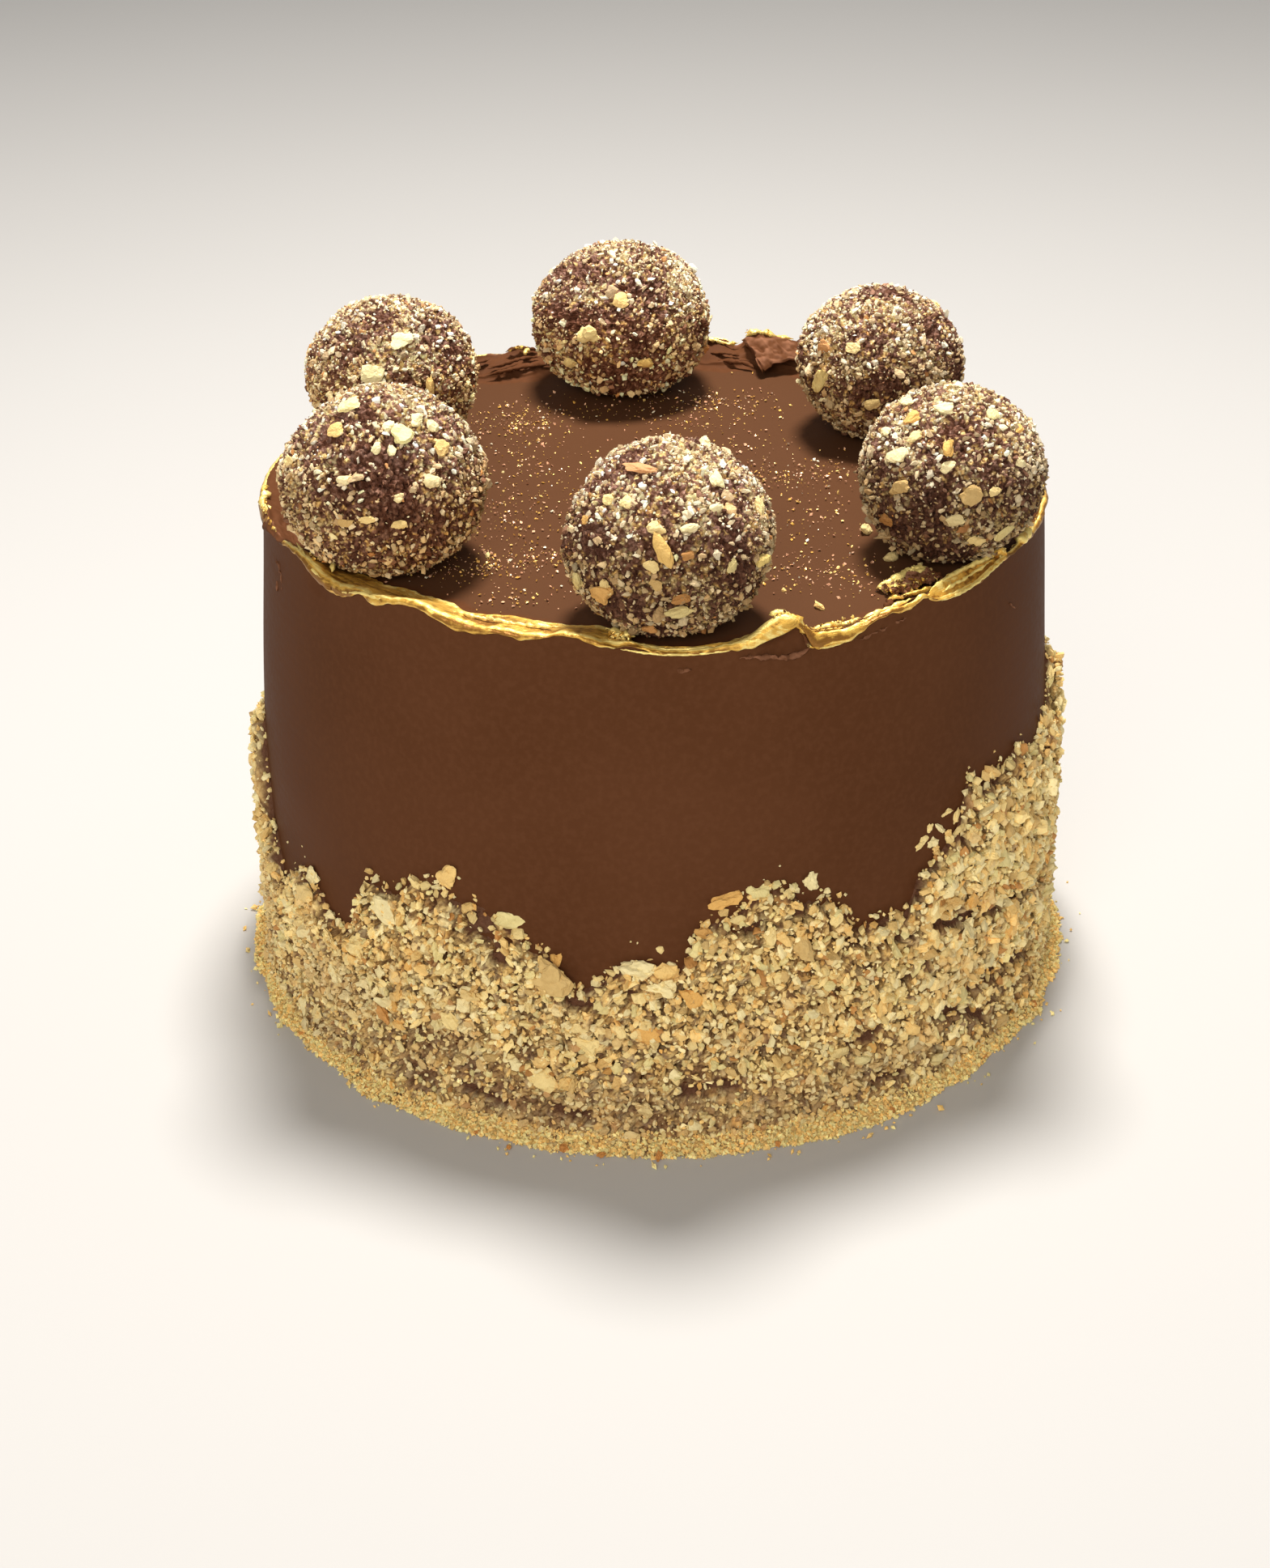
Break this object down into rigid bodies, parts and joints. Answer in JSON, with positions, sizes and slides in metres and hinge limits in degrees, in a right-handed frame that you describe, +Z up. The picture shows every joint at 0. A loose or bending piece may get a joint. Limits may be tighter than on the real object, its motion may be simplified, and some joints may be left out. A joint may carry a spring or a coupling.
{
  "type": "mocha cake",
  "caption": "Whole round cake in smooth mocha cream with a ragged gold-painted lip, chopped nuts pressed up its lower side, and nut-rolled truffles standing in a ring on its flat top.",
  "frame": {"origin": "centre of the flat base of the cake", "axes": "+Z up, -Y towards the front of the cake as the picture shows it, +X to the viewer's right"},
  "size_m": [0.1727, 0.1731, 0.1377],
  "materials": {
    "cream": "satin",
    "nut_rolled": "rough"
  },
  "bodies": {
    "root": {"cake": "cream", "truffle_front": "nut_rolled", "truffle_right": "nut_rolled", "truffle_back_right": "nut_rolled", "truffle_back": "nut_rolled", "truffle_back_left": "nut_rolled", "truffle_left": "nut_rolled"}
  },
  "joints": []
}
